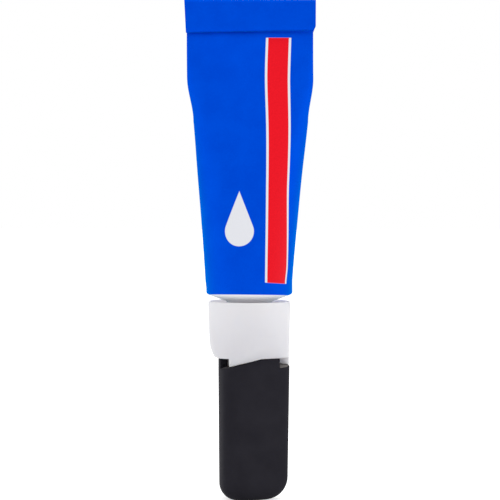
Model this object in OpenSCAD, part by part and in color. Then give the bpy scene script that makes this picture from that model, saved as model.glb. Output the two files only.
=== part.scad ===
// Collapsible aluminium glue tube with a self-piercing nozzle collar and a three-sided twist cap.
// The tube stands on its cap: z = 0 is the flat end of the cap, +Z runs up the axis to the folded end,
// and the printed front faces -Y.

/* [Tube] */
// Outside diameter of the round end of the tube
tube_d = 13.5; // [11:0.5:16]
// Thickness of the aluminium wall
tube_wall = 0.12; // [0.1:0.01:0.2]
// Length from the shoulder to the fold
tube_len = 41.1; // [36:0.1:50]
// Width of the flattened tube just under the fold
flat_w = 19.75; // [18.5:0.05:20.5]
// Angle of the shoulder cone below the horizontal
shoulder_angle = 18; // [12:1:30]
// Thickness of the shoulder
shoulder_t = 0.5; // [0.4:0.05:0.8]
// Radius of the edge between tube wall and shoulder
shoulder_edge = 0.5; // [0.3:0.1:0.7]

/* [Fold] */
// Height of the folded band
fold_h = 5; // [4:0.1:6]
// How far the pressed band stands out past the tube on each side
fold_spread = 0.4; // [0.1:0.05:0.5]
// Thickness of the sealing strip between the two walls
seal_t = 0.08; // [0.05:0.01:0.15]
// Gap left between neighbouring layers of the fold
layer_gap = 0.05; // [0.03:0.01:0.1]

/* [Neck] */
// Outside diameter of the neck
neck_d = 7; // [6:0.5:8]
// Length of the neck below the shoulder cone
neck_len = 7; // [6:0.5:8]
// Diameter of the hole through the neck
neck_bore_d = 4.6; // [4:0.1:5]
// Thickness of the membrane that closes the neck
membrane_t = 0.1; // [0.05:0.01:0.2]
// Travel of the collar along the neck that pierces the membrane
screw_travel = 0.7; // [0.5:0.05:1]

/* [Collar] */
// Outside diameter of the nozzle collar at its upper rim
collar_d = 12.9; // [12.6:0.1:13.2]
// How far the wall of the collar draws in from its rim to the cap
collar_draft = 0.2; // [0.1:0.05:0.3]
// Height of the collar wall above the cap's teeth, measured at its rim
collar_h = 8.8; // [8.4:0.1:9.2]
// Height above the cap's teeth from which each side of the collar curves in
curve_h = 3.5; // [3:0.1:4]
// Radius of that curve
curve_r = 7; // [6:0.5:9]
// Length of the spigot that enters the cap
spigot_len = 3.8; // [3:0.1:5]
// Thickness of the spigot wall
spigot_wall = 0.8; // [0.6:0.1:1]

/* [Nozzle] */
// Diameter of the nozzle at its tip
tip_d = 2; // [1.8:0.1:2.4]
// Diameter of the nozzle at its root
tip_root_d = 4.8; // [4:0.1:5]
// Diameter of the channel through spike and nozzle
channel_d = 1; // [0.8:0.1:1.2]
// Diameter of the piercing spike at its root
spike_root_d = 3.2; // [2.6:0.1:3.6]
// Diameter of the piercing spike at its point
spike_tip_d = 1.6; // [1.4:0.1:2]

/* [Cap] */
// Height of the cap from its flat end to the foot of its teeth
cap_len = 20.75; // [18:0.25:24]
// Height of the drive teeth on the rim
tooth_h = 1.5; // [1.2:0.05:2]
// Diameter over the three lobes at the rim
lobe_d = 12.7; // [12.4:0.1:13]
// Distance from the axis to the middle of each side
side_dist = 4.85; // [4.7:0.05:5.2]
// Radius of the gentle bulge of each side
side_r = 12.5; // [11:0.5:20]
// How far the lobes draw in from rim to end
lobe_draft = 0.3; // [0.2:0.05:0.6]
// How far the sides draw in from rim to end
side_draft = 0.2; // [0.1:0.05:0.4]
// Radius of the rounding of the lobes at the end
end_round = 3.5; // [3:0.1:4.2]
// Radius of the rounding of the sides at the end
side_round = 2.6; // [2:0.1:3.2]
// Diameter of the hole in the mouth of the cap
mouth_d = 8; // [7.8:0.1:8.2]
// Diameter of the hole at its floor
floor_d = 6.6; // [6:0.1:7]
// Thickness of the cap's end
end_t = 1.8; // [1.5:0.1:2.2]
// Height of the sealing boss on the floor
boss_h = 3.8; // [3:0.1:5]
// Thickness of the wall of the sealing boss
boss_wall = 0.7; // [0.5:0.1:0.9]
// Share of each side that the ramp of a tooth takes
ramp_share = 0.44; // [0.35:0.01:0.5]
// Angle at which the ramps rise towards the outside of the cap
ramp_tilt = 5.5; // [3:0.5:7]
// Angle from the middle of each side to the upright face that drives the collar
step_angle = 33; // [25:1:40]

/* [Pin] */
// Diameter of the steel pin that keeps the nozzle clear
pin_d = 0.6; // [0.5:0.05:0.7]
// Length of the pin
pin_len = 7; // [5:0.5:10]
// Depth of the pin's hole in the cap's end
pin_depth = 2; // [1.5:0.1:2.2]

/* [Fits] */
// Radial clearance of the neck in the collar
neck_gap = 0.06; // [0.03:0.01:0.1]
// Radial clearance of the spigot in the cap
spigot_gap = 0.08; // [0.05:0.01:0.15]
// Clearance between the teeth of cap and collar
tooth_gap = 0.12; // [0.08:0.01:0.2]
// Clearance between nozzle tip and sealing boss
tip_gap = 0.12; // [0.08:0.01:0.2]
// Radial clearance of the pin in its hole
pin_gap = 0.03; // [0.02:0.01:0.05]
// Clearance left between collar and tube when the collar is screwed home
home_gap = 0.15; // [0.1:0.05:0.3]
// Gap between the spike and the membrane before the tube is opened
spike_gap = 0.15; // [0.1:0.05:0.3]
// Gap between the adhesive and what holds it
fill_gap = 0.05; // [0.03:0.01:0.1]

/* [Adhesive] */
// Height of the adhesive above the shoulder
fill_h = 20; // [15:1:30]

/* [Hidden] */

$fn = 96;
// sides of the tube's lofted wall, and of the adhesive inside it
wall_sides = 56;
fill_sides = 32;
// rings along the tube's wall, and along the adhesive
wall_rings = 22;
fill_rings = 10;
// overlap that makes cuts pass clean through a surface
cut = 0.5;
// how deep one surface lies inside the next where two stretches of a piece run together, and their lap
seam = 0.015;
seam_h = 0.3;
// thickness of the floor under the nozzle's tip inside the sealing boss
boss_floor = 1.2;
// turned shapes start this far round, away from the corners of cap and collar
turn_start = 20;

tube_r = tube_d / 2;
neck_r = neck_d / 2;
collar_r = collar_d / 2;
collar_low_r = collar_r - collar_draft;
lobe_r = lobe_d / 2;
spigot_r = mouth_d / 2 - spigot_gap;
side_axis = side_r - side_dist;

// heights along the axis, from the cap's end upwards
land_z = cap_len + tooth_h;
collar_z = land_z + tooth_gap;
collar_top_z = collar_z + collar_h;
// the collar's dished top lies parallel to the shoulder, one travel and one gap below it
shoulder_z = collar_top_z + screw_travel + home_gap + shoulder_drop(collar_r);
neck_top_z = shoulder_z - shoulder_drop(neck_r);
neck_end_z = neck_top_z - neck_len;
membrane_z = neck_end_z - membrane_t;
socket_floor_z = membrane_z - screw_travel - home_gap;
spike_tip_z = membrane_z - spike_gap;
spigot_end_z = collar_z - spigot_len;
pocket_z = collar_z - spigot_wall;
boss_z = end_t + boss_h;
pin_z = end_t + boss_floor - pin_depth;
tip_z = end_t + boss_floor + 2 * tip_gap;
wall_z = shoulder_z + 2 * shoulder_edge;
fold_z = shoulder_z + tube_len;
fold_top_z = fold_z + fold_h;
fill_top_z = shoulder_z + fill_h;

// one layer of the fold is two walls with the sealing strip between them
layer_t = 2 * tube_wall + seal_t;
fold_w = flat_w + 2 * fold_spread;
seal_w = flat_w - 4 * tube_wall;
seal_top_z = fold_top_z - 3 * layer_t;

function shoulder_drop(r) = (tube_r - r) * tan(shoulder_angle);
function mix(a, b, t) = a + (b - a) * t;
function smooth(t) = t * t * (3 - 2 * t);
function clamp01(t) = min(1, max(0, t));
function arc(centre, r, from, to, steps = 8) =
    [for (i = [0 : steps]) let (a = mix(from, to, i / steps)) centre + r * [cos(a), sin(a)]];

// Section of the tube at a share s of the way from the round end to the fold.
// The width grows nearly in a straight line, then widens into the parallel pressed stretch under the fold.
// The depth closes slowly at first, because the length of the wall round the tube stays the same.
pressed_from = 0.65;
pressed_to = 0.82;
taper_share = 0.71;
taper_power = 1.15;
depth_power = 1.8;
square_from = 0.8;
function tube_half_w(s) =
    let (taper = mix(tube_r, flat_w / 2, taper_share * pow(min(1, s / pressed_from), taper_power)))
    mix(taper, flat_w / 2, smooth(clamp01((s - pressed_from) / (pressed_to - pressed_from))));
function tube_half_t(s) = layer_t / 2 + (tube_r - layer_t / 2) * (1 - pow(s, depth_power));
// 2 is an ellipse; the section squares up where it enters the fold
function section_power(s) = 2 + 4 * smooth(clamp01((s - square_from) / (1 - square_from)));
function sign_power(v, p) = (v < 0 ? -1 : 1) * pow(abs(v), p);
function section_point(s, angle, inset) =
    let (p = 2 / section_power(s))
    [(tube_half_w(s) - inset) * sign_power(cos(angle), p),
     (tube_half_t(s) - inset) * sign_power(sin(angle), p)];
function tube_ring(z, sides, inset) =
    let (s = (z - wall_z) / (fold_z - wall_z))
    [for (i = [0 : sides - 1]) let (p = section_point(clamp01(s), 360 * i / sides, inset)) [p[0], p[1], z]];

// triangles between ring j and ring j + 1 of a stack of rings that starts at point number base
function band(sides, j, base, flip) =
    [for (i = [0 : sides - 1])
        let (a = base + j * sides + i, b = base + j * sides + (i + 1) % sides, c = a + sides, d = b + sides)
        each flip ? [[a, b, d], [a, d, c]] : [[a, d, b], [a, c, d]]];
// triangles of a flat ring between an outer and an inner loop of points
function rim(sides, outer, inner, flip) =
    [for (i = [0 : sides - 1])
        let (k = (i + 1) % sides, a = outer + i, b = outer + k, c = inner + i, d = inner + k)
        each flip ? [[a, d, b], [a, c, d]] : [[a, b, d], [a, d, c]]];

// Flattened wall of the tube. Its ends run into the shoulder and the fold, a little inside their surfaces.
module tube_wall_loft() {
    between = [for (j = [0 : wall_rings]) mix(wall_z, fold_z, j / wall_rings)];
    heights = concat([wall_z - seam_h], between, [fold_z + seam_h]);
    outer = [for (z = heights) each tube_ring(z, wall_sides, seam)];
    inner = [for (z = heights) each tube_ring(z, wall_sides, seam + tube_wall)];
    shift = len(outer);
    bands = len(heights) - 1;
    last = bands * wall_sides;
    polyhedron(
        points = concat(outer, inner),
        faces = concat(
            [for (j = [0 : bands - 1]) each band(wall_sides, j, 0, false)],
            [for (j = [0 : bands - 1]) each band(wall_sides, j, shift, true)],
            rim(wall_sides, 0, shift, false),
            rim(wall_sides, last, shift + last, true)));
}

// Solid with the form of the tube's inside, between two heights
module tube_fill_loft(from_z, to_z, inset) {
    heights = [for (j = [0 : fill_rings]) mix(from_z, to_z, j / fill_rings)];
    points = [for (z = heights) each tube_ring(z, fill_sides, inset)];
    polyhedron(
        points = points,
        faces = concat(
            [for (j = [0 : fill_rings - 1]) each band(fill_sides, j, 0, false)],
            [[for (i = [0 : fill_sides - 1]) i]],
            [[for (i = [fill_sides - 1 : -1 : 0]) fill_rings * fill_sides + i]]));
}

// Round end of the tube: short wall, shoulder cone and neck, turned about the axis
module shoulder_and_neck() {
    bore_r = neck_bore_d / 2;
    inner_r = tube_r - tube_wall - 3 * seam;
    edge_centre = [tube_r - shoulder_edge, shoulder_z + shoulder_edge];
    edge_arc = arc(edge_centre, shoulder_edge, 0, shoulder_angle - 90);
    inside_z = neck_top_z + shoulder_t / cos(shoulder_angle);
    rotate_extrude()
        polygon(concat(
            [[tube_r, wall_z]],
            edge_arc,
            [[neck_r, neck_top_z],
             [neck_r, neck_end_z],
             [bore_r, neck_end_z],
             [bore_r, inside_z - (neck_r - bore_r) * tan(shoulder_angle)],
             [inner_r, inside_z + (inner_r - neck_r) * tan(shoulder_angle)],
             [inner_r, wall_z]]));
}

// Folded end seen along X: the flat end goes up, over the front and down, and turns up again inside
module fold_profile() {
    step = layer_t + layer_gap;
    top = fold_top_z - step - layer_t / 2;
    low = fold_z + step / 2 + layer_t / 2;
    translate([-layer_t / 2, fold_z]) square([layer_t, top - fold_z]);
    translate([-2 * step - layer_t / 2, low]) square([layer_t, top - low]);
    translate([-step - layer_t / 2, low]) square([layer_t, top - step - low]);
    half_turn([-step, top], step, 1);
    half_turn([-1.5 * step, low], step / 2, -1);
}

// Half ring of one layer's thickness, over the top (side 1) or under the bottom (side -1)
module half_turn(centre, r, side) {
    translate(centre)
        intersection() {
            difference() {
                circle(r = r + layer_t / 2);
                circle(r = r - layer_t / 2);
            }
            translate([-2 * r, side > 0 ? 0 : -2 * r]) square([4 * r, 2 * r]);
        }
}

// Slot between the two walls inside the fold
module seal_space(w, from_z) {
    translate([-w / 2, -seal_t / 2, from_z]) cube([w, seal_t, seal_top_z - from_z]);
}

// Impact-extruded aluminium tube, with its open end pressed flat and folded twice to the front
module tube_body() {
    color("royalblue") {
        tube_wall_loft();
        shoulder_and_neck();
        difference() {
            translate([-fold_w / 2, 0, 0])
                rotate([90, 0, 90]) linear_extrude(fold_w) fold_profile();
            seal_space(seal_w, fold_z - cut);
        }
    }
}

// Strip of sealing compound that the fold squeezes tight
module end_seal() {
    color("wheat") seal_space(seal_w, fold_z + 2 * seam_h);
}

// Foil that closes the neck until the spike goes through it
module neck_membrane() {
    color("silver") translate([0, 0, membrane_z]) cylinder(r = neck_r - neck_gap, h = membrane_t);
}

// Liquid adhesive, standing in the tube above the neck
module adhesive_fill() {
    bore_r = neck_bore_d / 2 - fill_gap;
    inner_r = tube_r - tube_wall - 3 * seam - fill_gap;
    floor_z = neck_top_z + (shoulder_t + fill_gap) / cos(shoulder_angle);
    pool_z = neck_end_z + screw_travel + home_gap;
    color("lightcyan") {
        rotate_extrude()
            polygon([
                [0, pool_z],
                [bore_r, pool_z],
                [bore_r, floor_z - (neck_r - bore_r) * tan(shoulder_angle)],
                [inner_r, floor_z + (inner_r - neck_r) * tan(shoulder_angle)],
                [inner_r, wall_z],
                [0, wall_z]]);
        tube_fill_loft(wall_z - seam_h, fill_top_z, tube_wall + 4 * seam + fill_gap);
    }
}

// Repeats its children on the three sides of cap and collar, with local +X pointing out of the side
module on_sides() {
    for (k = [0 : 2]) rotate([0, 0, 60 + 120 * k]) children();
}

// Sweeps an outline along the bulge of the side on +X, a little past both its corners
module along_side() {
    translate([-side_axis, 0, 0])
        rotate([0, 0, -side_span]) rotate_extrude(angle = 2 * side_span) children();
}

// Space round the axis between two angles, measured from the middle of the side on +X
module side_sector(from_angle, to_angle, from_z, to_z) {
    reach = 4 * collar_r;
    translate([0, 0, from_z])
        linear_extrude(to_z - from_z)
            polygon(concat([[0, 0]], arc([0, 0], reach, from_angle, to_angle, 2)));
}

// Extrudes an outline of points [across the side, height] out of the axis through the side on +X
module across_side(points) {
    rotate([90, 0, 90]) linear_extrude(2 * collar_d) polygon(points);
}

// Where the ramp of a tooth ends, measured across its side from the middle
half_side = lobe_r * sin(60);
ramp_end = half_side * (2 * ramp_share - 1);
past_side = half_side + collar_r;
// Each ramp starts at the foot of the upright face before it, which lies round the corner on the next side.
// The foot is given as distances out of and across the ramp's own side.
foot_angle = step_angle - 120;
foot_r = sqrt(pow(side_r, 2) - pow(side_axis * sin(step_angle), 2)) - side_axis * cos(step_angle);
foot = foot_r * [cos(foot_angle), sin(foot_angle)];
ramp_grade = (tooth_h - tan(ramp_tilt) * (side_dist - foot[0])) / (ramp_end - foot[1]);
// half the angle that a side takes about the axis of its bulge, past the corners
side_span = atan2(collar_r * sin(60), side_axis + collar_r * cos(60)) + 2;
// how far the collar's teeth reach up into its wall
tooth_root = 0.4;
// rounding of the collar's upper rim
rim_round = 0.25;
// how far outside the collar the curve that draws in its sides ends, and the flats that it is made of
curve_over = 0.06;
curve_steps = 8;
// lean of the cut that sharpens the piercing spike
spike_lean = 35;

// All that lies above the ramp on the side on +X, lifted off it by a gap
module above_ramp(lift) {
    grade = ramp_grade * cos(ramp_tilt);
    rise = 2 * tooth_h;
    translate([side_dist, 0, land_z + lift])
        rotate([0, -ramp_tilt, 0])
            translate([-collar_d, 0, 0])
                across_side([
                    [-past_side, rise],
                    [-past_side, -grade * (past_side + ramp_end)],
                    [ramp_end + rise / grade, rise]]);
}

// All that lies above the toothed rim of the cap
module above_cap_rim() {
    on_sides() intersection() {
        above_ramp(0);
        side_sector(foot_angle, 60, cap_len - cut, land_z + cut);
    }
}

// Teeth under the collar, one from each corner, whose slopes lie on the ramps of the cap
module collar_teeth() {
    root_z = collar_z + tooth_root;
    on_sides() difference() {
        intersection() {
            translate([0, 0, cap_len])
                rotate([0, 0, turn_start]) cylinder(r = collar_low_r - seam, h = root_z - cap_len);
            above_ramp(tooth_gap);
            side_sector(-60, 30, cap_len - cut, root_z + cut);
        }
        rotate([0, 0, turn_start]) cylinder(r = spigot_r - spigot_wall / 2, h = root_z + cut);
    }
}

// Three-sided cap with a rounded end, a toothed rim and a sealing boss inside
module cap() {
    lobe_end_r = lobe_r - lobe_draft;
    boss_r = tip_socket_r(boss_z) + boss_wall;
    color("#2b2b30")
        difference() {
            intersection() {
                rotate([0, 0, turn_start]) rotate_extrude()
                    polygon(concat(
                        [[0, 0]],
                        arc([lobe_end_r - end_round, end_round], end_round, -90, 0, 12),
                        [[lobe_r, land_z], [0, land_z]]));
                three_sides();
            }
            side_end(0);
            side_end(1);
            side_end(2);
            above_cap_rim();
            rotate([0, 0, turn_start]) rotate_extrude()
                polygon([
                    [0, land_z + cut],
                    [mouth_d / 2, land_z + cut],
                    [mouth_d / 2, spigot_end_z - cut],
                    [floor_d / 2, end_t],
                    [boss_r, end_t],
                    [boss_r, boss_z],
                    [tip_socket_r(boss_z), boss_z],
                    [tip_socket_r(end_t + boss_floor), end_t + boss_floor],
                    [pin_d / 2 + pin_gap, end_t + boss_floor],
                    [pin_d / 2 + pin_gap, pin_z],
                    [0, pin_z]]);
        }
}

// Common space of the three bulged sides of the cap
module three_sides() {
    intersection_for (k = [0 : 2])
        rotate([0, 0, 60 + 120 * k])
            translate([-side_axis, 0, 0])
                cylinder(r1 = side_r - side_draft, r2 = side_r, h = land_z);
}

// All that lies outside the rounding of side k at the cap's end
module side_end(k) {
    start_r = side_r - side_draft * (1 - side_round / land_z) + seam;
    end_r = start_r - side_round;
    rotate([0, 0, 60 + 120 * k]) along_side()
        polygon(concat(
            [[end_r, -cut]],
            arc([end_r, side_round - seam], side_round, -90, 0, 7),
            [[start_r + side_round, side_round], [start_r + side_round, -cut]]));
}

// Radius of the nozzle, and of the socket that seals round it, at a height
function nozzle_r(z) = mix(tip_d, tip_root_d, (z - tip_z) / (pocket_z - tip_z)) / 2;
function tip_socket_r(z) = nozzle_r(z) + tip_gap;

// Steel pin that stands in the nozzle's channel while the cap is on
module cap_pin() {
    color("lightsteelblue") translate([0, 0, pin_z]) cylinder(r = pin_d / 2, h = pin_len);
}

// Wall of the collar with its teeth, round at the top and drawn in to three sides where it meets the cap
module collar_wall() {
    socket_r = neck_r + neck_gap;
    dish = screw_travel + home_gap;
    difference() {
        union() {
            rotate([0, 0, turn_start]) rotate_extrude()
                polygon(concat(
                    [[0, collar_z], [collar_low_r, collar_z]],
                    arc([collar_r - rim_round, collar_top_z - rim_round], rim_round, 0, 90, 4),
                    [[0, collar_top_z]]));
            collar_teeth();
        }
        on_sides() along_side() outside_collar_side();
        rotate_extrude()
            polygon([
                [0, socket_floor_z],
                [socket_r, socket_floor_z],
                [socket_r, shoulder_z - shoulder_drop(socket_r) - dish],
                [collar_r + cut, shoulder_z - shoulder_drop(collar_r + cut) - dish],
                [collar_r + cut, shoulder_z],
                [0, shoulder_z]]);
    }
}

// Outline of what lies outside a side of the collar, which runs up from the cap's side and curves out to the
// wall, as distances from the axis of the side's bulge and heights
module outside_collar_side() {
    reach = side_r + collar_d;
    out = collar_low_r + collar_draft * curve_h / collar_h + curve_over - side_dist;
    start = -acos(1 - out / curve_r);
    middle = [side_r + out - curve_r, collar_z + curve_h];
    polygon(concat(
        [[side_r, cap_len - cut]],
        arc(middle, curve_r, start, 0, curve_steps),
        [[reach, middle[1]], [reach, cap_len - cut]]));
}

// Spigot, nozzle and piercing spike, turned about the axis
module nozzle() {
    inside_floor_z = (collar_z + socket_floor_z) / 2;
    rotate([0, 0, turn_start]) rotate_extrude()
        polygon([
            [0, tip_z],
            [tip_d / 2, tip_z],
            [tip_root_d / 2, pocket_z],
            [spigot_r - spigot_wall, pocket_z],
            [spigot_r - spigot_wall, spigot_end_z],
            [spigot_r, spigot_end_z],
            [spigot_r, inside_floor_z],
            [spike_root_d / 2, inside_floor_z],
            [spike_tip_d / 2, spike_tip_z],
            [0, spike_tip_z]]);
}

// Slanted space above the spike that leaves it one sharp point
module spike_bevel() {
    w = 2 * spike_root_d;
    translate([spike_tip_d / 2, 0, spike_tip_z])
        rotate([0, spike_lean, 0])
            translate([-w, -w / 2, 0]) cube([w + cut, w, w / 2]);
}

// White moulding that screws onto the neck, pierces the membrane and leads the adhesive out
module nozzle_collar() {
    color("whitesmoke")
        difference() {
            union() {
                collar_wall();
                nozzle();
            }
            spike_bevel();
            cylinder(d = channel_d, h = shoulder_z);
        }
}

cap();
cap_pin();
nozzle_collar();
neck_membrane();
tube_body();
end_seal();
adhesive_fill();
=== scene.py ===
"""Dresses the glue tube: a folded, enamelled tube, a white nozzle collar and a three-sided black cap."""
import math
from itertools import accumulate

import bmesh
import bpy
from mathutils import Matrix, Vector


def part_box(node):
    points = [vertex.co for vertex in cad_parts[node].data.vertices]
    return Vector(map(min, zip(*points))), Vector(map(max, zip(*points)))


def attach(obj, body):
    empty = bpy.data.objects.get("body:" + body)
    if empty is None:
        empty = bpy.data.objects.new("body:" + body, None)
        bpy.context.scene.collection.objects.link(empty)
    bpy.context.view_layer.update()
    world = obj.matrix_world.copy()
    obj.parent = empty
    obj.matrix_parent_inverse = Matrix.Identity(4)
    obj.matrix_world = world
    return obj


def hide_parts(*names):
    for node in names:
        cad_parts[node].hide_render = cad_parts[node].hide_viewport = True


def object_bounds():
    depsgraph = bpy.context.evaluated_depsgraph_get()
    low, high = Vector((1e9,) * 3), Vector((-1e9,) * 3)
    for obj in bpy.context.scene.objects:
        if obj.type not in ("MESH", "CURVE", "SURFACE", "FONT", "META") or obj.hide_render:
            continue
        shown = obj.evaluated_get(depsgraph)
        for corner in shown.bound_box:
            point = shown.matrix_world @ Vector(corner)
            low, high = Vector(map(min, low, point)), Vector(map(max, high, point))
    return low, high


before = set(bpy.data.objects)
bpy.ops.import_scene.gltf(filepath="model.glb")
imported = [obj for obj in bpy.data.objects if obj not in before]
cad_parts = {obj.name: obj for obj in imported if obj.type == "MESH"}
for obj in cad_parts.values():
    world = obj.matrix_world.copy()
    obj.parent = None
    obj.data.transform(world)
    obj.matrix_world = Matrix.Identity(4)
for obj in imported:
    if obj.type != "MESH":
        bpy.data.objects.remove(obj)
cad_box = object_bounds()
MM = 0.001

# Places read from the frame
cap_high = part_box("cap")[1]
collar_low, collar_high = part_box("nozzle_collar")
tube_low, tube_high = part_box("tube_body")
membrane_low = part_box("neck_membrane")[0]
pin_low, pin_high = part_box("cap_pin")
LAND_Z = cap_high.z
COLLAR_R = collar_high.x
COLLAR_TOP_Z = collar_high.z
NOZZLE_TIP_Z = collar_low.z
TUBE_R = tube_high.y
NECK_END_Z = tube_low.z
FOLD_TOP_Z = tube_high.z
MEMBRANE_Z = membrane_low.z
PIN_R = pin_high.x
PIN_END_Z = pin_low.z

# Sides and teeth of cap and collar
SIDES = 3
SIDE_STEP = 360 / SIDES
FIRST_SIDE = 60
SIDE_MIDDLES = [FIRST_SIDE + SIDE_STEP * k for k in range(SIDES)]
CORNERS = [m - SIDE_STEP / 2 for m in SIDE_MIDDLES]
SIDE_DIST = 4.85 * MM
SIDE_R = 12.5 * MM
SIDE_DRAFT = 0.2 * MM
SIDE_ROUND = 2.6 * MM
LOBE_R = 6.35 * MM
LOBE_DRAFT = 0.3 * MM
END_ROUND = 3.5 * MM
CORNER_SOFT = 0.5 * MM
EDGE = 0.12 * MM
EDGE_MIDDLE = 0.3 * EDGE
TOOTH_H = 1.5 * MM
TOOTH_GAP = 0.12 * MM
STEP_ANGLE = 33
RAMP_SHARE = 0.44
RAMP_END = LOBE_R * math.sin(math.radians(SIDE_STEP / 2)) * (2 * RAMP_SHARE - 1)
RAMP_TILT = math.tan(math.radians(5.5))
CAP_RIM_Z = LAND_Z - TOOTH_H

# Inside of the cap
MOUTH_R = 4 * MM
MOUTH_CLEAR = 0.5 * MM
INSIDE_R = 3.3 * MM
INSIDE_ROUND = 0.4 * MM
END_T = 1.8 * MM
BOSS_R = 2 * MM
BOSS_TOP_Z = END_T + 3.8 * MM
BOSS_FILLET = 0.2 * MM
TIP_SOCKET_R = 1.3 * MM
TIP_SOCKET_DRAFT = 0.15 * MM
TIP_SOCKET_Z = END_T + 1.2 * MM
PIN_HOLE_R = PIN_R + 0.03 * MM

# Neck, shoulder, wall and fold of the tube
NECK_R = 3.5 * MM
NECK_BORE_R = 2.3 * MM
NECK_TOP_Z = NECK_END_Z + 7 * MM
NECK_ROOT = ((NECK_R, NECK_TOP_Z - 0.1 * MM), (NECK_R + 0.15 * MM, NECK_TOP_Z + 0.06 * MM))
SHOULDER_ANGLE = 18
SHOULDER_SLOPE = math.tan(math.radians(SHOULDER_ANGLE))
SHOULDER_ROUND = 0.5 * MM
SHOULDER_T = 0.5 * MM
SHOULDER_Z = NECK_TOP_Z + (TUBE_R - NECK_R) * SHOULDER_SLOPE
WALL_Z = SHOULDER_Z + 2 * SHOULDER_ROUND
TUBE_WALL = 0.12 * MM
SEAL_T = 0.08 * MM
LAYER_T = 2 * TUBE_WALL + SEAL_T
LAYER_GAP = 0.05 * MM
FOLD_H = 5 * MM
FOLD_Z = FOLD_TOP_Z - FOLD_H
FOLD_HALF_W = tube_high.x - 0.01 * MM
FLAT_HALF_W = 9.875 * MM

# Collar with its spigot, nozzle, socket and spike
COLLAR_Z = LAND_Z + TOOTH_GAP
COLLAR_H = COLLAR_TOP_Z - COLLAR_Z
COLLAR_DRAFT = 0.2 * MM
COLLAR_ROUND = 0.25 * MM
CURVE_R = 7 * MM
CURVE_Z = COLLAR_Z + 3.5 * MM
CURVE_OVER = 0.06 * MM
CURVE_SOFT = 0.3 * MM
ROUND_Z = CURVE_Z + 1 * MM
SPIGOT_R = MOUTH_R - 0.08 * MM
SPIGOT_WALL = 0.8 * MM
SPIGOT_BORE_R = SPIGOT_R - SPIGOT_WALL
SPIGOT_END_Z = COLLAR_Z - 3.8 * MM
POCKET_Z = COLLAR_Z - SPIGOT_WALL
NOZZLE_TIP_R = 1 * MM
NOZZLE_ROOT_R = 2.4 * MM
NOZZLE_ROOT = ((NOZZLE_ROOT_R, POCKET_Z - 0.25 * MM), (NOZZLE_ROOT_R + 0.2 * MM, POCKET_Z))
CHANNEL_R = 0.5 * MM
NECK_SOCKET_R = NECK_R + 0.06 * MM
NECK_SOCKET_Z = MEMBRANE_Z - 0.85 * MM
DISH_RADII = (COLLAR_R - 0.5 * MM, 5 * MM, NECK_SOCKET_R + EDGE)
SPIKE_Z = MEMBRANE_Z - 0.15 * MM
SPIKE_R = 0.8 * MM
SPIKE_FOOT_R = 1.6 * MM
SPIKE_SLOPE = math.tan(math.radians(35))


def mix(a, b, t):
    return a + (b - a) * t


def clamp(t):
    return min(1.0, max(0.0, t))


def ease(value, low, high):
    """0 at low and 1 at high, eased between them."""
    t = clamp((value - low) / (high - low))
    return t * t * (3 - 2 * t)


def shares(count):
    """Even shares from 0 to 1."""
    return [i / count for i in range(count + 1)]


def soft_min(a, b, k):
    """The smaller of two lengths, with the corner between them rounded over a length k."""
    h = clamp(0.5 + 0.5 * (b - a) / k)
    return mix(b, a, h) - k * h * (1 - h)


# Shader maths

class Value:
    """A socket of a material. Plain operators on it add Math nodes."""

    def __init__(self, paint, socket):
        self.paint = paint
        self.socket = socket

    def math(self, operation, *others):
        inputs = dict(enumerate((self,) + others))
        return self.paint.node("ShaderNodeMath", {"operation": operation}, inputs)

    def __add__(self, other):
        return self.math("ADD", other)

    __radd__ = __add__

    def __mul__(self, other):
        return self.math("MULTIPLY", other)

    __rmul__ = __mul__

    def __sub__(self, other):
        return self.math("SUBTRACT", other)

    def __rsub__(self, other):
        return self.paint.node("ShaderNodeMath", {"operation": "SUBTRACT"}, {0: other, 1: self})

    def __truediv__(self, other):
        return self.math("DIVIDE", other)

    def __abs__(self):
        return self.math("ABSOLUTE")

    def most(self, other):
        return self.math("MAXIMUM", other)

    def rise(self, low, high):
        """0 at low and 1 at high, eased between them."""
        inputs = {"Value": self, "From Min": low, "From Max": high}
        return self.paint.node("ShaderNodeMapRange", {"interpolation_type": "SMOOTHSTEP"}, inputs)


class Paint:
    """A material, or the world. node() adds any node and gives back one of its outputs as a Value."""

    def __init__(self, block, shader="Principled BSDF", **constants):
        block.use_nodes = True
        self.block = block
        self.nodes = block.node_tree.nodes
        self.links = block.node_tree.links
        self.shader = self.nodes[shader]
        self.feed(self.shader, constants)

    def feed(self, node, inputs):
        for key, value in inputs.items():
            socket = node.inputs[key.replace("_", " ") if isinstance(key, str) else key]
            if isinstance(value, Value):
                self.links.new(value.socket, socket)
            else:
                socket.default_value = value

    def node(self, kind, settings=None, inputs=None, output=0):
        node = self.nodes.new(kind)
        for key, value in (settings or {}).items():
            setattr(node, key, value)
        self.feed(node, inputs or {})
        return Value(self, node.outputs[output])

    def place(self):
        """Object coordinates."""
        return self.node("ShaderNodeTexCoord", output="Object")

    def part(self, vector, axis):
        """One part of a vector."""
        return self.node("ShaderNodeSeparateXYZ", inputs={0: vector}, output=axis)

    def noise(self, vector, size, detail):
        """Cloudy noise from 0 to 1 whose lumps are about the given size."""
        inputs = {"Vector": vector, "Scale": 1 / size, "Detail": detail}
        return self.node("ShaderNodeTexNoise", inputs=inputs)

    def blend(self, factor, first, second):
        """The first colour where factor is 0, the second where it is 1."""
        return self.node("ShaderNodeMix", {"data_type": "RGBA"}, {0: factor, 6: first, 7: second}, output=2)

    def bump(self, height, depth, strength):
        """A normal bent by a height, where 1 of the height stands for the depth."""
        inputs = {"Height": height, "Distance": depth, "Strength": strength}
        return self.node("ShaderNodeBump", inputs=inputs)

    def seen(self):
        """1 for what the camera sees, straight, mirrored or through glass, and 0 for falling light."""
        camera, glossy, through = [self.node("ShaderNodeLightPath", output=f"Is {ray} Ray")
                                   for ray in ("Camera", "Glossy", "Transmission")]
        return camera.most(glossy).most(through)


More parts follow.
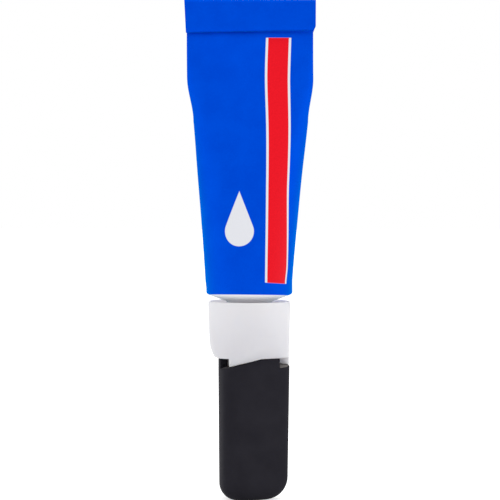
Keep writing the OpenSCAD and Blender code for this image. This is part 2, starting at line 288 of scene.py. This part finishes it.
def new_paint(name, **constants):
    return Paint(bpy.data.materials.new(name), **constants)


def linear(red, green, blue):
    """A colour given as it looks on screen, 0 to 255, in the linear form that shaders take."""
    def one(c):
        c /= 255
        return c / 12.92 if c <= 0.04045 else ((c + 0.055) / 1.055) ** 2.4
    return (one(red), one(green), one(blue), 1.0)


# Print on the wall, in mm round the tube from the middle of the front and in mm of height
STRIPE = (2.55, 6.5)
STRIPE_ENDS = (SHOULDER_Z / MM + 2.19, FOLD_Z / MM - 0.95)
STRIPE_SLANT = -0.072
STRIPE_BEND = -0.27
BEND_REACH = (50, 65, 75)
STRIPE_FLARE = 0.75
FLARE_REACH = (34, 50)
STRIPE_TAPER = 0.35
TAPER_REACH = (33.5, 37)
STRIPE_BORDER = 0.37
PRINT_EDGE = 0.05
ENAMEL_EDGE = SHOULDER_Z / MM - 0.175
ENAMEL_RISE = 0.5
ENAMEL_LEAN = -0.075
DROP_MIDDLE = (-1.6, 42.2)
DROP_R = 2.3
DROP_TIP = 6.2
TAIL_FROM = (0.75, 0.8)


def past(value, limit):
    """0 below a limit and 1 above it, with the soft edge of ink between."""
    return value.rise(limit - PRINT_EDGE, limit + PRINT_EDGE)


def between(value, low, high):
    """1 between two values, with the soft edge of ink."""
    return past(value, low) * (1 - past(value, high))


def enamel_mask(across, along):
    """Where the wall is enamelled. The coat's lower edge is a little higher in the middle of the front."""
    share = across / (0.5 * math.pi * TUBE_R / MM)
    edge = ENAMEL_EDGE + ENAMEL_RISE * (1 - share * share).most(0.0) + ENAMEL_LEAN * share
    return past(along - edge, 0)


def stripe_masks(across, along):
    """Where the red of the stripe is, and where the stripe with its white borders is. It bends where the
    tube is pressed, flares where it is round and tapers at its lower end."""
    length = between(along, STRIPE_SLANT * (across - STRIPE[0]) + STRIPE_ENDS[0], STRIPE_ENDS[1])
    start, most, end = BEND_REACH
    across = across - STRIPE_BEND * along.rise(start, most) * (1 - along.rise(most, end))
    flare = STRIPE_FLARE * (1 - along.rise(*FLARE_REACH))
    taper = STRIPE_TAPER * (1 - along.rise(*TAPER_REACH))
    left, right = STRIPE[0], STRIPE[1] + flare - taper
    red = between(across, left + STRIPE_BORDER, right - STRIPE_BORDER) * length
    return red, between(across, left, right) * length


def drop_mask(across, along):
    """A drop that falls towards the nozzle: a disc with a pointed tail above it."""
    sideways = abs(across - DROP_MIDDLE[0])
    up = along - DROP_MIDDLE[1]
    away = (sideways * sideways + up * up).math("SQRT")
    disc = 1 - past(away, DROP_R)
    lean = math.acos(DROP_R / DROP_TIP)
    edge = sideways * math.sin(lean) + up * math.cos(lean)
    tail = (1 - past(edge, DROP_R)) * up.rise(*TAIL_FROM)
    return disc.most(tail)


# Materials

BLUE = linear(0, 76, 218)
DEEP_BLUE = linear(0, 70, 211)
EDGE_BLUE = linear(0, 225, 255)
RED = linear(243, 24, 38)
DEEP_RED = linear(236, 22, 36)
PRINT_WHITE = linear(234, 235, 241)
BARE_DULL = linear(254, 247, 250)
BARE_BRIGHT = linear(255, 252, 254)
# Collar tones: a painted shade for its foot next to the black cap, and its unshaded tone at the top
COLLAR_PAINTED_SHADE = linear(220, 219, 224)
COLLAR_UNSHADED = linear(232, 231, 235)
BLACK = linear(38, 37, 43)
SOFT_BLACK = linear(43, 42, 48)
# Pale grey painted onto the cap's rim as a painted reflection of the white surround
RIM_REFLECTION_GREY = linear(136, 132, 129)
STEEL = linear(190, 190, 194)
FOIL = linear(222, 222, 226)
DARK_SEALANT = linear(214, 200, 168)
SEALANT = linear(232, 221, 194)
DEEP_LIQUID = linear(238, 243, 244)
LIQUID = linear(248, 250, 250)
METAL_DULLED = 0.85
DRAWN = 0.04
ENAMEL_METAL = 0.25
MIDDLE_TONES = (0.3, 0.7)


def enamel(name, printed):
    """Blue enamel over aluminium; the printed one has the stripe, the drop mark and a bare shoulder."""
    paint = new_paint(name, IOR=1.45, Specular_IOR_Level=0.0, Specular_Tint=EDGE_BLUE,
                      Sheen_Weight=0.28, Sheen_Roughness=0.45, Sheen_Tint=EDGE_BLUE)
    vector = paint.place()
    mottle = paint.noise(vector, 3 * MM, 3)
    fine = paint.noise(vector, 0.25 * MM, 2)
    colour = paint.blend((0.6 * mottle + 0.4 * fine).rise(*MIDDLE_TONES), DEEP_BLUE, BLUE)
    rough = 0.36 + 0.1 * mottle
    metal = ENAMEL_METAL
    if printed:
        wrap = paint.node("ShaderNodeUVMap", {"uv_map": "wrap"})
        across, along = paint.part(wrap, "X"), paint.part(wrap, "Y")
        red, stripe = stripe_masks(across, along)
        ink = stripe.most(drop_mask(across, along))
        colour = paint.blend(ink, colour, PRINT_WHITE)
        colour = paint.blend(red, colour, paint.blend(fine.rise(*MIDDLE_TONES), DEEP_RED, RED))
        bare = 1 - enamel_mask(across, along)
        grain = paint.noise(vector, 0.4 * MM, 3)
        colour = paint.blend(bare, colour, paint.blend(grain, BARE_DULL, BARE_BRIGHT))
        metal = ENAMEL_METAL * (1 - ink.most(red)) * (1 - bare)
        rough = rough + bare * (0.1 + 0.1 * grain)
    paint.feed(paint.shader, {
        "Base Color": colour, "Roughness": rough, "Metallic": metal,
        "Normal": paint.bump(mottle * 0.7 + fine * 0.3, 0.02 * MM, 0.5)})
    return paint.block


def collar_plastic():
    """Milky polyethylene that lets a little light through, with painted shade that darkens it towards its
    foot next to the black cap.
    """
    paint = new_paint("collar_plastic", IOR=1.5, Subsurface_Weight=1.0, Subsurface_Scale=3 * MM,
                      Subsurface_Radius=(1.0, 0.95, 0.9), Specular_IOR_Level=0.4)
    vector = paint.place()
    cloud = paint.noise(vector, 2.5 * MM, 2)
    grain = paint.noise(vector, 0.12 * MM, 2)
    # Painted shade: the collar darkens towards its foot next to the black cap, with a random cloud of tone
    # over it
    height = paint.part(vector, "Z").rise(COLLAR_Z - TOOTH_H, COLLAR_TOP_Z)
    paint.feed(paint.shader, {
        "Base Color": paint.blend(height + 0.2 * cloud - 0.1, COLLAR_PAINTED_SHADE, COLLAR_UNSHADED),
        "Roughness": 0.42 + 0.08 * cloud, "Normal": paint.bump(grain, 0.01 * MM, 0.35)})
    return paint.block


def cap_plastic():
    """Satin black plastic with the fine grain of an eroded mould, and a painted reflection that makes the
    upper faces of its rim paler.
    """
    paint = new_paint("cap_plastic", IOR=1.5, Specular_IOR_Level=0.01)
    vector = paint.place()
    grain = paint.noise(vector, 0.16 * MM, 2)
    cloud = paint.noise(vector, 4 * MM, 2)
    # Painted reflection: this attribute makes the upper faces of the rim paler grey
    rim_reflection = paint.node("ShaderNodeAttribute", {"attribute_name": "rim_reflection"}, output="Fac")
    colour = paint.blend(cloud.rise(0.25, 0.75), BLACK, SOFT_BLACK)
    paint.feed(paint.shader, {
        "Base Color": paint.blend(rim_reflection * (0.7 + 0.3 * grain), colour, RIM_REFLECTION_GREY),
        "Roughness": 0.5 + 0.08 * cloud, "Normal": paint.bump(grain, 0.02 * MM, 0.5)})
    return paint.block


def bare_metal(name, colour, rough, along_z):
    """Metal with a fine grain, drawn out into lines along Z where along_z is less than 1."""
    paint = new_paint(name, Metallic=1.0)
    dull = tuple(METAL_DULLED * c for c in colour[:3]) + (1.0,)
    stretched = paint.node("ShaderNodeMapping", inputs={0: paint.place(), "Scale": (1, 1, along_z)})
    grain = paint.noise(stretched, 0.08 * MM, 3)
    paint.feed(paint.shader, {
        "Base Color": paint.blend(grain, dull, colour),
        "Roughness": rough + 0.15 * grain, "Normal": paint.bump(grain, 0.005 * MM, 0.4)})
    return paint.block


def sealing_compound():
    """Dull, lumpy compound the colour of putty."""
    paint = new_paint("sealing_compound", IOR=1.5)
    lumps = paint.noise(paint.place(), 0.3 * MM, 3)
    paint.feed(paint.shader, {
        "Base Color": paint.blend(lumps, DARK_SEALANT, SEALANT),
        "Roughness": 0.7 + 0.15 * lumps, "Normal": paint.bump(lumps, 0.02 * MM, 0.6)})
    return paint.block


def clear_adhesive():
    """Clear liquid with a faint drift in its tone."""
    paint = new_paint("clear_adhesive", IOR=1.45, Transmission_Weight=0.9)
    drift = paint.noise(paint.place(), 6 * MM, 2)
    paint.feed(paint.shader, {
        "Base Color": paint.blend(drift, DEEP_LIQUID, LIQUID),
        "Roughness": 0.04 + 0.03 * drift})
    return paint.block


# Modelling

SHARP_ANGLE = math.radians(35)
STATION_COUNT = 180
HAIR_ANGLE = 0.3


def polar(r, a, z):
    """The point at a distance from the axis, an angle round it and a height."""
    return (r * math.cos(a), r * math.sin(a), z)


def round_ring(r, z):
    """A ring of radius r at height z."""
    return lambda a: polar(r, a, z)


def lofted(angles, rings, closed):
    """A skin through rings, one point of each ring to an angle. Closed joins the last ring to the first;
    otherwise both ends are filled. Each point keeps its ring, its station and its way round from
    half-way."""
    bm = bmesh.new()
    level = bm.verts.layers.int.new("ring")
    station = bm.verts.layers.int.new("station")
    way = bm.verts.layers.float.new("way")
    bmesh.ops.create_circle(bm, segments=len(angles), radius=1)
    bm.verts.ensure_lookup_table()
    for i, v in enumerate(bm.verts):
        v[station] = i

    def put(verts, number):
        points = [Vector(rings[number](a)) for a in angles]
        steps = [(p - points[i - 1]).length for i, p in enumerate(points)]
        ways = list(accumulate(steps[1:], initial=-sum(steps) / 2))
        for v in verts:
            v.co = points[v[station]]
            v[way] = ways[v[station]]
            v[level] = number

    put(bm.verts, 0)
    first = last = list(bm.edges)
    for number in range(1, len(rings)):
        grown = bmesh.ops.extrude_edge_only(bm, edges=last)["geom"]
        put([g for g in grown if isinstance(g, bmesh.types.BMVert)], number)
        last = [g for g in grown if isinstance(g, bmesh.types.BMEdge) and g.is_boundary]
    if closed:
        bmesh.ops.bridge_loops(bm, edges=first + last)
    else:
        for loop in (first, last):
            bmesh.ops.edgeloop_fill(bm, edges=loop)
    bmesh.ops.recalc_face_normals(bm, faces=bm.faces)
    return bm


def finish_piece(name, bm, material, body, slot, *nodes):
    """Makes the piece, shades it smooth but for its sharp edges, and lets it stand for its CAD nodes."""
    mesh = bpy.data.meshes.new(name)
    for edge in bm.edges:
        edge.smooth = len(edge.link_faces) == 2 and edge.calc_face_angle() < SHARP_ANGLE
    for face in bm.faces:
        face.smooth = True
    bm.to_mesh(mesh)
    bm.free()
    mesh.materials.append(material)
    piece = bpy.data.objects.new(name, mesh)
    bpy.context.scene.collection.objects.link(piece)
    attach(piece, body)
    if nodes:
        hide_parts(*nodes)
    return piece


def stations(upright_faces):
    """Angles round the axis in order, evenly spaced, with pairs a hair apart at each upright face."""
    even = [360 * (i + 0.5) / STATION_COUNT for i in range(STATION_COUNT)]
    pairs = [(a + s) % 360 for a in upright_faces for s in (-HAIR_ANGLE, HAIR_ANGLE)]
    keep = [a for a in even if all(abs(a - p) > HAIR_ANGLE / 2 for p in pairs)]
    return [math.radians(a) for a in sorted(keep + pairs)]


def from_side_middle(a):
    """Angle in degrees from the middle of the side that an angle round the axis falls on."""
    return (math.degrees(a) - FIRST_SIDE + SIDE_STEP / 2) % SIDE_STEP - SIDE_STEP / 2


def side_reach(a, r):
    """Distance from the axis to a side bulged with radius r, in the direction of an angle."""
    offset = SIDE_R - SIDE_DIST
    local = math.radians(from_side_middle(a))
    return math.sqrt(r * r - (offset * math.sin(local)) ** 2) - offset * math.cos(local)


def foot_of_step():
    """Where the upright face of a tooth ends below, out of and across the side whose ramp starts there."""
    step, turned = math.radians(STEP_ANGLE), math.radians(STEP_ANGLE - SIDE_STEP)
    r = side_reach(math.radians(FIRST_SIDE) + step, SIDE_R)
    return r * math.cos(turned), r * math.sin(turned)


FOOT_OUT, FOOT_ACROSS = foot_of_step()
RAMP_GRADE = (TOOTH_H - RAMP_TILT * (SIDE_DIST - FOOT_OUT)) / (RAMP_END - FOOT_ACROSS)


def ramp(local, r):
    """How far the toothed edge lies below its lands, at an angle in degrees from the middle of the side."""
    out = r * math.cos(math.radians(local))
    across = r * math.sin(math.radians(local))
    return max(0.0, RAMP_TILT * (SIDE_DIST - out) + RAMP_GRADE * (RAMP_END - across))


# Cap

def drawn_in(z, r):
    """How far a rounding of radius r at the end of the cap draws the wall in at a height."""
    return r - math.sqrt(r * r - max(0.0, r - z) ** 2)


def cap_outline(a, z):
    """Distance from the axis to the outside of the cap."""
    below_rim = 1 - z / LAND_Z
    lobe = LOBE_R - LOBE_DRAFT * below_rim - drawn_in(z, END_ROUND)
    side = side_reach(a, SIDE_R - SIDE_DRAFT * below_rim - drawn_in(z, SIDE_ROUND))
    return soft_min(lobe, side, CORNER_SOFT)


def cap_rim(a, r):
    """Height of the rim. Past its upright face the ramp of the next side starts."""
    local = from_side_middle(a)
    return LAND_Z - ramp(local - SIDE_STEP if local > STEP_ANGLE else local, r)


def cap_wall(z):
    """A ring on the outside of the cap at a height."""
    return lambda a: polar(cap_outline(a, z), a, z)


def rim_ring(inward, down, bore=False):
    """A ring on the rim: inward from its outer edge, or outward from its bore, and down from its top."""
    def ring(a):
        r = MOUTH_R + inward if bore else cap_outline(a, CAP_RIM_Z) - inward
        return polar(r, a, cap_rim(a, r) - down)
    return ring


def make_cap(material):
    """Outside, toothed rim, mouth, boss and pin hole as one skin, filled at both ends."""
    end_arc = [END_ROUND * (1 - math.cos(math.pi / 2 * t)) for t in shares(14)]
    walls = [mix(END_ROUND, CAP_RIM_Z - 4 * EDGE, t) for t in shares(6)[1:]]
    rings = [cap_wall(z) for z in end_arc + walls] + [rim_ring(0, EDGE), rim_ring(EDGE_MIDDLE, EDGE_MIDDLE)]
    rim = (len(rings), len(rings) + 1)
    rings += [rim_ring(EDGE, 0), rim_ring(EDGE, 0, True)]
    rings += [rim_ring(EDGE_MIDDLE, EDGE_MIDDLE, True), rim_ring(0, EDGE, True)]
    rings += [round_ring(*p) for p in (
        (MOUTH_R, SPIGOT_END_Z - MOUTH_CLEAR),
        (INSIDE_R, END_T + INSIDE_ROUND), (INSIDE_R - INSIDE_ROUND, END_T),
        (BOSS_R + BOSS_FILLET, END_T), (BOSS_R, END_T + BOSS_FILLET),
        (BOSS_R, BOSS_TOP_Z - EDGE), (BOSS_R - EDGE, BOSS_TOP_Z),
        (TIP_SOCKET_R + EDGE, BOSS_TOP_Z), (TIP_SOCKET_R, BOSS_TOP_Z - EDGE),
        (TIP_SOCKET_R - TIP_SOCKET_DRAFT, TIP_SOCKET_Z),
        (PIN_HOLE_R, TIP_SOCKET_Z), (PIN_HOLE_R, PIN_END_Z))]
    bm = lofted(stations([m + STEP_ANGLE for m in SIDE_MIDDLES]), rings, False)
    # Weights the rim's upper faces for a painted reflection
    paint_rim_reflection(bm, rim)
    return finish_piece("cap_shell", bm, material, "cap", "cap_plastic", "cap")


# Painted reflection on the rim's upper faces: its least and most weight, and how far up a face must look
RIM_REFLECTION = (0.2, 1.0)
FACES_UP = 0.7


def paint_rim_reflection(bm, rim):
    """Weights the upper faces of the rim for a painted reflection, the most on the lobe at the right."""
    level = bm.verts.layers.int["ring"]
    rim_reflection = bm.loops.layers.float.new("rim_reflection")
    for face in bm.faces:
        top = face.normal.z > FACES_UP and all(v[level] in rim for v in face.verts)
        for loop in face.loops:
            loop[rim_reflection] = top * mix(*RIM_REFLECTION, clamp(loop.vert.co.x / MOUTH_R))


# Collar with its nozzle

def collar_wall_r(z):
    """Radius of the collar's round wall at a height."""
    return COLLAR_R - COLLAR_DRAFT * (1 - clamp((z - COLLAR_Z) / COLLAR_H))


def collar_outline(a, z):
    """Distance from the axis to the outside of the collar, whose sides curve in to those of the cap."""
    below = max(0.0, CURVE_Z - z)
    out = collar_wall_r(CURVE_Z) + CURVE_OVER - SIDE_DIST - CURVE_R + math.sqrt(CURVE_R ** 2 - below ** 2)
    side = side_reach(a, SIDE_R + max(0.0, out) + max(0.0, z - CURVE_Z))
    return soft_min(collar_wall_r(z), side, CURVE_SOFT)


def collar_edge(a, r):
    """Height of the collar's toothed lower edge."""
    return COLLAR_Z - ramp(from_side_middle(a), r)


def edge_ring(inward, up):
    """A ring on the toothed edge, inward and up from its outer corner."""
    def ring(a):
        r = collar_outline(a, collar_edge(a, LOBE_R)) - inward
        return polar(r, a, collar_edge(a, r) + up)
    return ring


def collar_wall(share):
    """A ring on the outside, a share of the way from the toothed edge to where the wall is fully round."""
    def ring(a):
        low = collar_edge(a, collar_outline(a, collar_edge(a, LOBE_R))) + EDGE
        z = mix(low, ROUND_Z, share)
        return polar(collar_outline(a, z), a, z)
    return ring


def spigot_root(a):
    """The ring where the spigot meets the toothed edge."""
    return polar(SPIGOT_R, a, collar_edge(a, SPIGOT_R))


def spike_ring(r):
    """A ring on the slanted end of the spike."""
    return lambda a: polar(r, a, SPIKE_Z - SPIKE_SLOPE * max(0, SPIKE_R - r * math.cos(a)))


def dish_ring(r, down=0):
    """A ring on the collar's top, which is dished like the shoulder above it."""
    return round_ring(r, COLLAR_TOP_Z - (COLLAR_R - r) * SHOULDER_SLOPE - down)


def make_collar(material):
    """Nozzle, spigot, toothed collar, dished top, neck socket and spike as one closed skin."""
    rings = [round_ring(*p) for p in (
        (CHANNEL_R, NOZZLE_TIP_Z), (NOZZLE_TIP_R - EDGE, NOZZLE_TIP_Z), (NOZZLE_TIP_R, NOZZLE_TIP_Z + EDGE),
        (mix(NOZZLE_TIP_R, NOZZLE_ROOT_R, 0.5), mix(NOZZLE_TIP_Z, POCKET_Z, 0.5)),
        *NOZZLE_ROOT,
        (SPIGOT_BORE_R, POCKET_Z), (SPIGOT_BORE_R, SPIGOT_END_Z + EDGE),
        (SPIGOT_BORE_R + EDGE, SPIGOT_END_Z),
        (SPIGOT_R - 2 * EDGE, SPIGOT_END_Z), (SPIGOT_R, SPIGOT_END_Z + 2 * EDGE))]
    rings += [spigot_root, edge_ring(EDGE, 0), edge_ring(EDGE_MIDDLE, EDGE_MIDDLE)]
    rings += [collar_wall(t) for t in shares(18)]
    wall_top = COLLAR_TOP_Z - COLLAR_ROUND
    for z in [mix(ROUND_Z, wall_top, t) for t in (0.35, 0.7, 1)]:
        rings.append(round_ring(collar_wall_r(z), z))
    for t in [math.pi / 2 * share for share in shares(3)[1:]]:
        r = COLLAR_R - COLLAR_ROUND * (1 - math.cos(t))
        rings.append(round_ring(r, wall_top + COLLAR_ROUND * math.sin(t)))
    rings += [dish_ring(r) for r in DISH_RADII]
    rings += [dish_ring(NECK_SOCKET_R, EDGE), round_ring(NECK_SOCKET_R, NECK_SOCKET_Z),
              round_ring(SPIKE_FOOT_R, NECK_SOCKET_Z), spike_ring(SPIKE_R), spike_ring(CHANNEL_R)]
    bm = lofted(stations(CORNERS), rings, True)
    return finish_piece("nozzle_moulding", bm, material, "nozzle", "collar_plastic", "nozzle_collar")


# Tube, whose reaches are shares of the wall's height

PRESSED = (0.65, 0.82)
TAPER_SHARE = 0.71
TAPER_POWER = 1.15
DEPTH_POWER = 1.8
SQUARE_FROM = 0.8
SQUARE_POWER = 6
SWAY = 0.16 * MM
SWAY_REACH = 0.16
FOOT_SWAY = 0.08 * MM
FOOT_SWAY_REACH = (0.03, 0.35)
TUBE_STATIONS = 192


def tube_half_w(s):
    """Half the width of the wall at a share of its height."""
    taper = mix(TUBE_R, FLAT_HALF_W, TAPER_SHARE * min(1, s / PRESSED[0]) ** TAPER_POWER)
    return mix(taper, FLAT_HALF_W, ease(s, *PRESSED))


def tube_half_t(s):
    """Half the depth of the wall at a share of its height."""
    return LAYER_T / 2 + (TUBE_R - LAYER_T / 2) * (1 - s ** DEPTH_POWER)


def tube_sway(s):
    """How far the wall stands to the right: most where the pressing starts, and less near the foot."""
    foot_start, foot_end = FOOT_SWAY_REACH
    foot = ease(s, 0, foot_start) * (1 - ease(s, 0, foot_end))
    return SWAY * math.exp(-((s - PRESSED[0]) / SWAY_REACH) ** 2) - FOOT_SWAY * foot


def tube_section(z, inset):
    """The ring round the flattened tube at a height, from a circle to a rounded oblong."""
    s = clamp((z - WALL_Z) / (FOLD_Z - WALL_Z))
    power = 2 / mix(2, SQUARE_POWER, ease(s, SQUARE_FROM, 1))
    half_w, half_t = tube_half_w(s) - inset, tube_half_t(s) - inset
    sway = tube_sway(s)

    def ring(a):
        c, d = math.cos(a), math.sin(a)
        x = math.copysign(abs(c) ** power, c) * half_w + sway
        y = math.copysign(abs(d) ** power, d) * half_t
        return (x, y, z)
    return ring


def make_tube(material):
    """Neck, shoulder and wall as one closed skin, with the way round it kept as a map for the print."""
    angles = [math.radians(90 + 360 * i / TUBE_STATIONS) for i in range(TUBE_STATIONS)]
    heights = [mix(WALL_Z, FOLD_Z, t) for t in shares(60)]
    inside_z = NECK_TOP_Z + SHOULDER_T
    rings = [round_ring(*p) for p in (
        (NECK_BORE_R, NECK_END_Z), (NECK_R - EDGE, NECK_END_Z), (NECK_R, NECK_END_Z + EDGE), *NECK_ROOT)]
    for t in [math.radians(mix(SHOULDER_ANGLE - 90, 0, share)) for share in shares(6)]:
        r = TUBE_R - SHOULDER_ROUND * (1 - math.cos(t))
        rings.append(round_ring(r, SHOULDER_Z + SHOULDER_ROUND * (1 + math.sin(t))))
    rings += [tube_section(z, 0) for z in heights]
    rings += [tube_section(z, TUBE_WALL) for z in heights[::-6]]
    rings += [round_ring(TUBE_R - TUBE_WALL, inside_z + (TUBE_R - NECK_R) * SHOULDER_SLOPE),
              round_ring(NECK_BORE_R, inside_z - (NECK_R - NECK_BORE_R) * SHOULDER_SLOPE)]
    bm = lofted(angles, rings, True)
    wrap_map(bm)
    return finish_piece("tube_skin", bm, material, "tube", "enamelled_aluminium", "tube_body")


def wrap_map(bm):
    """Writes the way round the tube from the middle of the front, and the height, in mm, to a UV map."""
    station = bm.verts.layers.int["station"]
    way = bm.verts.layers.float["way"]
    wrap = bm.loops.layers.uv.new("wrap")
    for face in bm.faces:
        past_seam = any(v[station] == TUBE_STATIONS - 1 for v in face.verts)
        for loop in face.loops:
            v = loop.vert
            across = -v[way] if past_seam and v[station] == 0 else v[way]
            loop[wrap].uv = (across / MM, v.co.z / MM)


# Fold, whose FROM values are shares of its half width or of its height

EDGE_RISE = 0.2 * MM
CORNER_RISE = 0.1 * MM
CORNER_RISE_FROM = 0.9
LEFT_LEAN = 0.28 * MM
CORNER_LEAN = 0.42 * MM
CORNER_LEAN_FROM = 0.88
CORNER_DOWN_FROM = 0.86
LOWER_FROM = 0.3
FRONT_LAYER = (0.2 * MM, 0.4 * MM)
RIPPLE = 0.03 * MM
RIPPLE_RATE = 9
FOLD_STEPS = 40
FOLD_CUTS = 8
FOLD_FOOT_Z = FOLD_Z - 0.2 * MM


def pressed_uneven(point):
    """How far a point of the fold lies from a perfect one. Its lower edge rises to the right and turns up
    at the corner, its left end leans in, and so does the corner."""
    across = point.x / FOLD_HALF_W
    down = (FOLD_TOP_Z - point.z) / FOLD_H
    lower = ease(-point.y, *FRONT_LAYER) * ease(down, LOWER_FROM, 1)
    rise = EDGE_RISE * across + CORNER_RISE * ease(across, CORNER_RISE_FROM, 1)
    corner = clamp((down - CORNER_DOWN_FROM) / (1 - CORNER_DOWN_FROM)) * ease(across, CORNER_LEAN_FROM, 1)
    lean = LEFT_LEAN * down * ease(-across, 0, 1) - CORNER_LEAN * corner
    ripple = RIPPLE * math.sin(RIPPLE_RATE * across)
    return Vector((lean, ripple * lower, rise * lower))


def make_fold(material):
    """The pressed end, folded over to the front twice: a bent sheet drawn across the tube."""
    step = LAYER_T + LAYER_GAP
    top = FOLD_TOP_Z - step - LAYER_T / 2
    low = FOLD_Z + step / 2 + LAYER_T / 2
    over = [(-step + step * math.cos(t), top + step * math.sin(t))
            for t in [math.pi * s for s in shares(10)]]
    under = [(-1.5 * step - step / 2 * math.cos(t), low - step / 2 * math.sin(t))
             for t in [math.pi * s for s in shares(6)]]
    path = [(0, FOLD_FOOT_Z)] + over + under + [(-step, top - step)]
    bm = bmesh.new()
    verts = [bm.verts.new((-FOLD_HALF_W, y, z)) for y, z in path]
    for pair in zip(verts, verts[1:]):
        bm.edges.new(pair)
    straight = [e for e in bm.edges if e.calc_length() > FOLD_H / 2]
    bmesh.ops.subdivide_edges(bm, edges=straight, cuts=FOLD_CUTS)
    edges = list(bm.edges)
    for _ in range(FOLD_STEPS):
        grown = bmesh.ops.extrude_edge_only(bm, edges=edges)["geom"]
        fresh = [g for g in grown if isinstance(g, bmesh.types.BMVert)]
        bmesh.ops.translate(bm, verts=fresh, vec=(2 * FOLD_HALF_W / FOLD_STEPS, 0, 0))
        edges = [g for g in grown if isinstance(g, bmesh.types.BMEdge) and all(v in fresh for v in g.verts)]
    for v in bm.verts:
        v.co += pressed_uneven(v.co)
    bmesh.ops.recalc_face_normals(bm, faces=bm.faces)
    piece = finish_piece("tube_fold", bm, material, "tube", "enamelled_aluminium")
    thick = piece.modifiers.new("thick", "SOLIDIFY")
    thick.thickness = LAYER_T
    thick.offset = 0
    return piece


# Studio: each lamp has a name, a place and a size in metres, and a power in watts

WORLD_LIGHT = 0.8
FLOOR_HALF = 1.5
FLOOR_WHITE = (0.9, 0.9, 0.9, 1)
FLOOR_GLOW = 0.6
LAMPS = (
    ("left", (-0.38, -0.05, 0.16), 0.3, 0.16),
    ("right", (0.38, -0.05, 0.14), 0.3, 0.25),
    ("top", (0, -0.15, 0.45), 0.4, 0.4))
CAMERA_AIM = Vector((0.05 * MM, 0, cad_box[1].z / 2))
CAMERA_DISTANCE = 0.43
CAMERA_RISE = 2.04
CAMERA_ROLL = -0.13
FRAME_WIDTH = 78.3 * MM
SENSOR_WIDTH = 36


def make_floor(scene):
    """A white floor that takes the object's shadow and looks white to the camera."""
    bm = bmesh.new()
    bmesh.ops.create_grid(bm, x_segments=1, y_segments=1, size=FLOOR_HALF)
    mesh = bpy.data.meshes.new("floor")
    bm.to_mesh(mesh)
    bm.free()
    floor = bpy.data.objects.new("floor", mesh)
    scene.collection.objects.link(floor)
    paint = new_paint("floor_white", Base_Color=FLOOR_WHITE, Roughness=0.9, Specular_IOR_Level=0.0)
    glow = paint.node("ShaderNodeEmission", inputs={"Strength": paint.seen() * FLOOR_GLOW})
    both = paint.node("ShaderNodeAddShader", inputs={0: Value(paint, paint.shader.outputs[0]), 1: glow})
    paint.feed(paint.nodes["Material Output"], {"Surface": both})
    mesh.materials.append(paint.block)


def make_world(scene):
    """Even white light, and pure white where the camera looks past the object."""
    scene.world = bpy.data.worlds.new("surround")
    paint = Paint(scene.world, "Background", Color=(1, 1, 1, 1))
    paint.feed(paint.shader, {"Strength": WORLD_LIGHT + (1 - WORLD_LIGHT) * paint.seen()})


def make_lamps(scene):
    """Soft light from both sides and above."""
    for name, place, size, power in LAMPS:
        light = bpy.data.lights.new(name, "AREA")
        light.size = size
        light.energy = power
        lamp = bpy.data.objects.new(name, light)
        lamp.location = place
        lamp.rotation_euler = (CAMERA_AIM - Vector(place)).to_track_quat("-Z", "Y").to_euler()
        scene.collection.objects.link(lamp)


def make_camera(scene):
    """The camera of the photograph, a little above the middle of the tube."""
    camera = bpy.data.cameras.new("camera")
    camera.sensor_width = SENSOR_WIDTH
    camera.lens = SENSOR_WIDTH * CAMERA_DISTANCE / FRAME_WIDTH
    eye = bpy.data.objects.new("camera", camera)
    rise = math.radians(CAMERA_RISE)
    eye.location = CAMERA_AIM + CAMERA_DISTANCE * Vector((0, -math.cos(rise), math.sin(rise)))
    eye.rotation_euler = (math.pi / 2 - rise, math.radians(CAMERA_ROLL), 0)
    scene.collection.objects.link(eye)
    scene.camera = eye


def make_studio():
    """White floor and surround, soft light, and the camera of the photograph."""
    scene = bpy.context.scene
    scene.view_settings.view_transform = "Standard"
    make_floor(scene)
    make_world(scene)
    make_lamps(scene)
    make_camera(scene)


def paint_node(node, material):
    """Gives a CAD node that keeps its solid a material."""
    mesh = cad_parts[node].data
    mesh.materials.clear()
    mesh.materials.append(material)


make_studio()
make_cap(cap_plastic())
make_collar(collar_plastic())
make_tube(enamel("enamel_print", True))
make_fold(enamel("enamel_plain", False))
paint_node("cap_pin", bare_metal("pin_steel", STEEL, 0.22, DRAWN))
paint_node("neck_membrane", bare_metal("foil", FOIL, 0.25, 1))
paint_node("end_seal", sealing_compound())
paint_node("adhesive_fill", clear_adhesive())
